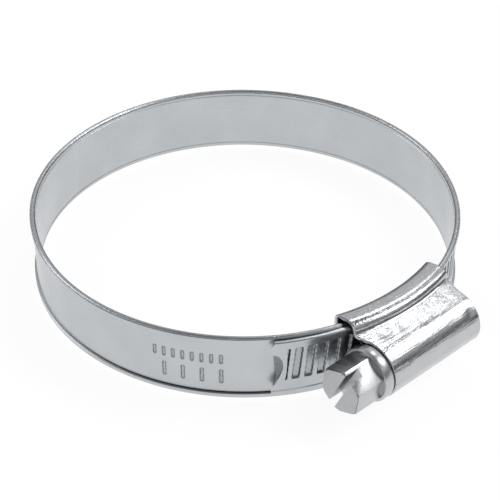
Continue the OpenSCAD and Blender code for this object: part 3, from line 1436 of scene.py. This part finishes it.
        # The saddle's side walls are pressed flat and stay smooth.
        note(made.data, "calm", smoothstep(np.abs(points[:, 2]), self.half - 0.5, self.half - 0.1))
        return finish_mesh(made, "housing_sheet", self.finishes.housing, crease_deg=50.0)

    def _rim(self, first: np.ndarray, last: np.ndarray, way: float) -> list[np.ndarray]:
        """Loops that round the sheet's cut edge between its two sides.

        Args:
            first: The loop that the rim starts from.
            last: The loop that it ends at.
            way: Which way along Y it bulges.

        Returns:
            The loops between them.
        """
        bulge = 0.1
        loops = []
        for share in (0.12, 0.35, 0.65, 0.88):
            loop = first + (last - first) * share
            loop = loop + np.array([0.0, way * bulge * math.sin(math.pi * share) ** 0.5, 0.0])
            loops.append(loop)
        return loops

    def _lip(self) -> Object:
        """Builds the lip that closes the tunnel's far end round the screw's pilot.

        Returns:
            The finished piece.
        """
        far = self.tunnel_far - 0.05
        near = self.tunnel_far - self.lip_t
        wall = self.tube_r - self.sheet + 0.05
        profile = [
            (near, wall),
            (near, self.lip_r + 0.1),
            (near + 0.1, self.lip_r),
            (far - 0.15, self.lip_r),
            (far, self.lip_r + 0.15),
            (far, wall),
        ]
        made = turned_ring("tunnel_lip", profile)
        return finish_mesh(made, "tunnel_lip", self.finishes.screw)

    def _anchor(self) -> Object:
        """Builds the flattened inner layer that is fixed in the pocket.

        Returns:
            The finished piece.
        """
        inner_r = LAYOUT.hose_r - 0.05 + self.sheet
        angle = np.radians(np.linspace(1.0, self.end_deg, 24))
        path = inner_r * np.stack([np.cos(angle), np.sin(angle)], axis=1)
        made = self.maker.strip(path, FlatEdge(-5.6, 5.6).outline(), self.finishes.tail)
        return self.maker.finish(made, "fixed_layer", self.finishes.tail, np.zeros(2))


# ---------------------------------------------------------------------------------------------
# Screw
# ---------------------------------------------------------------------------------------------


def turned_points(profile: list[tuple[float, float]], steps: int) -> np.ndarray:
    """Points of a profile turned about the screw's axis, ring by ring.

    Args:
        profile: Corners as y and radius.
        steps: Steps round each ring.

    Returns:
        Points as rows of x, y and z.
    """
    angle = np.linspace(0, 2 * math.pi, steps, endpoint=False)
    rings = []
    for y, r in profile:
        x = LAYOUT.screw_x + r * np.sin(angle)
        rings.append(np.stack([x, np.full(steps, y), r * np.cos(angle)], axis=1))
    return np.concatenate(rings)


def turned_ring(name: str, profile: list[tuple[float, float]], steps: int = 96) -> Object:
    """Turns a closed profile of (y, radius) pairs into a ring about the screw's axis.

    Args:
        name: The object's name.
        profile: The profile's corners, in order.
        steps: Steps round the ring.

    Returns:
        The object, in millimetres.
    """
    faces = grid_faces(len(profile), steps, closed=True)
    return outward(loose_object(name, turned_points(profile, steps), faces=faces))


def turned_bar(name: str, profile: list[tuple[float, float]], steps: int = 96) -> Object:
    """Turns an open profile of (y, radius) pairs into a solid bar about the screw's axis.

    Args:
        name: The object's name.
        profile: The profile's corners, in order along Y.
        steps: Steps round the bar.

    Returns:
        The object, in millimetres.
    """
    last = (len(profile) - 1) * steps
    caps = [tuple(range(steps)), tuple(range(last, last + steps))]
    faces = grid_faces(len(profile), steps, closed=False) + caps
    return outward(loose_object(name, turned_points(profile, steps), faces=faces))


def outward(obj: Object) -> Object:
    """Turns a closed mesh's faces outwards.

    Args:
        obj: The object.

    Returns:
        The same object.
    """
    work = bmesh.new()
    work.from_mesh(obj.data)
    bmesh.ops.remove_doubles(work, verts=work.verts, dist=1e-5)
    bmesh.ops.recalc_face_normals(work, faces=work.faces)
    if work.calc_volume(signed=True) < 0:
        bmesh.ops.reverse_faces(work, faces=work.faces)
    work.to_mesh(obj.data)
    work.free()
    return obj


def thread_tree() -> Tree:
    """Builds the tree that winds a thread's outline into a helix about the screw's axis.

    Returns:
        The tree.
    """
    inputs = {
        "Outline": "NodeSocketObject",
        "Radius": "NodeSocketFloat",
        "Turns": "NodeSocketFloat",
        "Length": "NodeSocketFloat",
        "Axis X": "NodeSocketFloat",
        "Steps": "NodeSocketInt",
        "Finish": "NodeSocketMaterial",
    }
    tree, group = geometry_tree("wound_thread", inputs)
    take = group.outputs
    helix = add_node(
        tree,
        "GeometryNodeCurveSpiral",
        links={
            "Resolution": take["Steps"],
            "Rotations": take["Turns"],
            "Start Radius": take["Radius"],
            "End Radius": take["Radius"],
            "Height": take["Length"],
        },
    )
    links = {"Curve": helix.outputs["Curve"]}
    upright = add_node(tree, "GeometryNodeSetCurveNormal", {"mode": "Z_UP"}, links)
    source = add_node(tree, "GeometryNodeObjectInfo", links={"Object": take["Outline"]})
    outline = add_node(tree, "GeometryNodeMeshToCurve", links={"Mesh": source.outputs["Geometry"]})
    links = {
        "Curve": upright.outputs["Curve"],
        "Profile Curve": outline.outputs["Curve"],
        "Fill Caps": True,
    }
    wound = add_node(tree, "GeometryNodeCurveToMesh", links=links)
    half = add_node(tree, MATH, {"operation": "MULTIPLY"}, {0: take["Length"], 1: -0.5})
    place = add_node(tree, "ShaderNodeCombineXYZ", links={"X": take["Axis X"], "Y": half.outputs[0]})
    laid = add_node(
        tree,
        "GeometryNodeTransform",
        links={
            "Geometry": wound.outputs["Mesh"],
            "Translation": place.outputs[0],
            "Rotation": (-math.pi / 2, 0.0, 0.0),
        },
    )
    end_tree(tree, group, laid.outputs["Geometry"])
    return tree


@dataclass
class WormScrew:
    """The worm screw: slotted hexagon head, collar, bearing, worm and pilot."""

    finishes: Finishes
    collar_y: float = -10.25
    collar_r: float = 4.5
    collar_t: float = 1.7
    hex_af: float = 7.0
    hex_len: float = 5.4
    end_r: float = 3.7
    hex_turn_deg: float = 22.0
    slot_turn_deg: float = 25.0
    slot_w: float = 1.3
    slot_depth: float = 2.6
    edge: float = 0.14
    core_r: float = 3.0
    bearing_r: float = 3.87
    bearing_end: float = -7.8
    worm_half: float = 7.2
    worm_r: float = 3.8
    pitch: float = 2.0
    root_half: float = 0.42
    crest_half: float = 0.18
    pilot_r: float = 2.5
    pilot_y: float = 9.5

    def build(self) -> list[Object]:
        """Builds the head, the shaft and the thread.

        Returns:
            The finished pieces.
        """
        pieces = [self._head(), self._collar(), self._shaft(), self._thread()]
        for piece in pieces:
            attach(piece, "screw")
        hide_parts("worm_screw")
        return pieces

    def _head(self) -> Object:
        """Builds the hexagon: a prism whose end is chamfered by turning and split by the slot.

        Returns:
            The finished piece.
        """
        head_y = self.collar_y - self.collar_t
        end_y = head_y - self.hex_len
        corner_r = self.hex_af / 2 / math.cos(math.pi / 6)
        angle = np.radians(self.hex_turn_deg + 60 * np.arange(6))
        x = LAYOUT.screw_x + corner_r * np.cos(angle)
        ring = np.stack([x, np.zeros(6), corner_r * np.sin(angle)], axis=1)
        points = np.concatenate([ring + [0, head_y + 0.3, 0], ring + [0, end_y, 0]])
        faces = grid_faces(2, 6, closed=False) + [tuple(range(6)), tuple(range(6, 12))]
        head = outward(loose_object("screw_head", points, faces=faces))
        blank = [
            (end_y - 0.01, self.end_r),
            (end_y + corner_r - self.end_r, corner_r + 0.02),
            (head_y + 1.0, corner_r + 0.02),
        ]
        turning = turned_bar("turning", blank)
        cutter = self._slot_cutter(end_y)
        for tool, operation in ((turning, "INTERSECT"), (cutter, "DIFFERENCE")):
            cut = head.modifiers.new(operation.lower(), "BOOLEAN")
            cut.object = tool
            cut.operation = operation
            cut.solver = "EXACT"
        bevel = head.modifiers.new("edge", "BEVEL")
        bevel.width = self.edge
        bevel.segments = 3
        bevel.limit_method = "ANGLE"
        bevel.angle_limit = math.radians(20)
        bake_modifiers(head)
        discard(turning, cutter)
        # The cropped end of the bar stays darker than its sides.
        note(head.data, "pressed", (coordinates(head.data)[:, 1] < end_y + 0.03).astype(float))
        return finish_mesh(head, "screw_head", self.finishes.screw)

    def _slot_cutter(self, end_y: float) -> Object:
        """Builds the block that cuts the driver's slot into the head's end at end_y.

        Args:
            end_y: Where the head's end lies.

        Returns:
            The block.
        """
        lean = math.radians(self.slot_turn_deg)
        along = self.hex_af * np.array([math.sin(lean), math.cos(lean)])
        side = self.slot_w / 2 * np.array([math.cos(lean), -math.sin(lean)])
        points = []
        for y in (end_y - 1.0, end_y + self.slot_depth):
            for a, b in ((-1, -1), (1, -1), (1, 1), (-1, 1)):
                x, z = a * along + b * side
                points.append((LAYOUT.screw_x + x, y, z))
        faces = grid_faces(2, 4, closed=False) + [(0, 1, 2, 3), (4, 5, 6, 7)]
        return outward(loose_object("slot", np.array(points), faces=faces))

    def _collar(self) -> Object:
        """Builds the collar under the head, with a hollow round the hexagon's foot.

        Returns:
            The finished piece.
        """
        near = self.collar_y
        far = near - self.collar_t
        r = self.collar_r
        edge = 0.18
        profile = [
            (near, 1.0),
            (near, r - edge),
            (near - 0.3 * edge, r - 0.3 * edge),
            (near - edge, r),
            (far + edge, r),
            (far + 0.3 * edge, r - 0.3 * edge),
            (far, r - edge),
            (far, r - 0.45),
            (far + 0.15, r - 0.6),
            (far + 0.15, 1.0),
        ]
        return finish_mesh(turned_ring("screw_collar", profile), "screw_collar", self.finishes.screw)

    def _shaft(self) -> Object:
        """Builds the bearing, the worm's core and the pilot.

        Returns:
            The finished piece.
        """
        start = self.collar_y - 0.5
        profile = [
            (start, self.bearing_r),
            (self.bearing_end - 0.1, self.bearing_r),
            (self.bearing_end, self.bearing_r - 0.1),
            (self.bearing_end, self.core_r),
            (self.worm_half - 0.2, self.core_r),
            (self.worm_half, self.core_r - 0.2),
            (self.worm_half, self.pilot_r),
            (self.pilot_y - 0.2, self.pilot_r),
            (self.pilot_y, self.pilot_r - 0.2),
        ]
        return finish_mesh(turned_bar("screw_shaft", profile), "screw_shaft", self.finishes.screw)

    def _thread(self) -> Object:
        """Winds the worm's thread.

        Returns:
            The finished piece.
        """
        turns = 2 * self.worm_half / self.pitch - 1
        root = self.core_r - 0.3 - self.worm_r
        crest = [(0.0, -self.crest_half), (0.0, self.crest_half)]
        outline = np.array([(-root, -self.root_half), *crest, (-root, self.root_half)])
        shape = loose_object("outline", outline, edges=[(i, (i + 1) % 4) for i in range(4)])
        base = loose_object("thread", np.zeros((1, 3)))
        values = {
            "Outline": shape,
            "Radius": self.worm_r,
            "Turns": turns,
            "Length": turns * self.pitch,
            "Axis X": LAYOUT.screw_x,
            "Steps": 48,
            "Finish": self.finishes.screw,
        }
        made = grow(base, thread_tree(), values)
        discard(shape)
        return finish_mesh(outward(made), "worm_thread", self.finishes.screw)


# ---------------------------------------------------------------------------------------------
# Studio
# ---------------------------------------------------------------------------------------------


@dataclass
class Studio:
    """The floor, the light tent and the camera."""

    azimuth_deg: float = 47.4
    elevation_deg: float = 36.3
    distance: float = 259.0
    lens: float = 109.8
    sensor: float = 36.0
    aim_right: float = 0.85
    aim_up: float = -3.53
    floor_size: float = 3.0
    floor_colour: str = "#fafafa"
    floor_glow: float = 0.85
    glow_strength: float = 1.12

    def build(self) -> None:
        """Makes the floor, the lights and the camera."""
        self._floor()
        self._tent()
        self._softboxes()
        self._camera()

    def _floor(self) -> None:
        """Makes a pale floor, lit from below like a light table so that shadows stay soft."""
        half = self.floor_size / MM / 2
        level = CAD_BOX[0][2] / MM
        corners = ((-half, -half), (half, -half), (half, half), (-half, half))
        points = np.array([(x, y, level) for x, y in corners])
        floor = loose_object("studio_floor", points, faces=[(0, 1, 2, 3)])
        floor.data.transform(Matrix.Scale(MM, 4))
        material = bpy.data.materials.new("white_paper")
        material.use_nodes = True
        material.node_tree.nodes.clear()
        tree = material.node_tree
        colour = linear(self.floor_colour)
        paper = add_node(tree, "ShaderNodeBsdfDiffuse", links={"Color": colour})
        links = {"Color": colour, "Strength": self.glow_strength}
        glow = add_node(tree, "ShaderNodeEmission", links=links)
        links = {"Fac": self.floor_glow, 1: paper.outputs[0], 2: glow.outputs[0]}
        lit = add_node(tree, "ShaderNodeMixShader", links=links)
        add_node(tree, "ShaderNodeOutputMaterial", links={"Surface": lit.outputs[0]})
        floor.data.materials.append(material)

    def _tent(self) -> None:
        """Makes a light tent: white to the eye, and graded from a grey horizon to a bright top."""
        world = bpy.data.worlds.new("light_tent")
        bpy.context.scene.world = world
        world.use_nodes = True
        tree = world.node_tree
        tree.nodes.clear()
        way = add_node(tree, "ShaderNodeTexCoord")
        up = add_node(tree, "ShaderNodeSeparateXYZ", links={0: way.outputs["Generated"]})
        links = {0: up.outputs["Z"], 1: 0.5, 2: 0.5}
        share = add_node(tree, MATH, {"operation": "MULTIPLY_ADD"}, links)
        ramp = add_node(tree, "ShaderNodeValToRGB", links={"Fac": share.outputs[0]})
        # How high each stop is, from straight down to straight up, and how bright it is there.
        stops = (
            (0.0, 0.5),
            (0.49, 0.16),
            (0.66, 0.2),
            (0.73, 0.7),
            (0.85, 0.75),
            (0.91, 0.2),
            (1.0, 0.16),
        )
        while len(ramp.color_ramp.elements) < len(stops):
            ramp.color_ramp.elements.new(0.5)
        for element, (place, level) in zip(ramp.color_ramp.elements, stops):
            element.position = place
            element.color = (level, level, level * 1.01, 1.0)
        graded = add_node(tree, "ShaderNodeBackground", links={"Color": ramp.outputs["Color"]})
        white = add_node(tree, "ShaderNodeBackground", links={"Color": (1.0, 1.0, 1.0, 1.0)})
        ray = add_node(tree, "ShaderNodeLightPath")
        links = {"Fac": ray.outputs["Is Camera Ray"], 1: graded.outputs[0], 2: white.outputs[0]}
        both = add_node(tree, "ShaderNodeMixShader", links=links)
        add_node(tree, "ShaderNodeOutputWorld", links={"Surface": both.outputs[0]})

    def _softboxes(self) -> None:
        """Hangs soft lights round the clamp."""
        # Name, place and size in metres, and power in watts.
        boxes = (
            ("back_right_box", (0.31, 0.44, 0.59), 0.3, 0.34, 1.5),
            ("back_left_box", (-0.17, 0.42, 0.66), 0.16, 0.18, 0.5),
            ("left_box", (-0.6, -0.3, 0.45), 0.3, 0.5, 0.8),
        )
        for name, place, width, height, power in boxes:
            light = bpy.data.lights.new(name, "AREA")
            light.shape = "RECTANGLE"
            light.size = width
            light.size_y = height
            light.energy = power
            lamp = bpy.data.objects.new(name, light)
            lamp.location = place
            lamp.rotation_mode = "QUATERNION"
            lamp.rotation_quaternion = (-Vector(place)).to_track_quat("-Z", "Y")
            bpy.context.scene.collection.objects.link(lamp)

    def _camera(self) -> None:
        """Places the camera on the clamp's front quarter, looking down on the ring."""
        round_z = math.radians(self.azimuth_deg)
        rise = math.radians(self.elevation_deg)
        right = Vector((math.cos(round_z), math.sin(round_z), 0.0))
        level = Vector((math.sin(round_z), -math.cos(round_z), 0.0))
        back = level * math.cos(rise) + Vector((0.0, 0.0, math.sin(rise)))
        centre = Vector((*LAYOUT.band_centre, 0.0))
        offset = self.aim_right * right + self.aim_up * back.cross(right)
        data = bpy.data.cameras.new("camera")
        data.lens = self.lens
        data.sensor_width = self.sensor
        data.clip_start = 0.01
        data.clip_end = 20.0
        camera = bpy.data.objects.new("camera", data)
        camera.location = (centre + back * self.distance) * MM
        aim = (centre + offset) * MM - camera.location
        camera.rotation_mode = "QUATERNION"
        camera.rotation_quaternion = aim.to_track_quat("-Z", "Y")
        bpy.context.scene.collection.objects.link(camera)
        bpy.context.scene.camera = camera
        bpy.context.scene.view_settings.view_transform = "Standard"


def main() -> None:
    """Builds the clamp and the studio, and reports each piece."""
    logging.basicConfig(level=logging.INFO, format="%(name)s: %(message)s")
    finishes = Finishes()
    maker = StripMaker()
    assemblies = (
        FreeBand(maker, finishes),
        ThreadedEnd(maker, finishes),
        Housing(maker, finishes),
        WormScrew(finishes),
    )
    for assembly in assemblies:
        for piece in assembly.build():
            log.info("%s: %d faces", piece.name, len(piece.data.polygons))
    Studio().build()


if __name__ == "__main__":
    main()
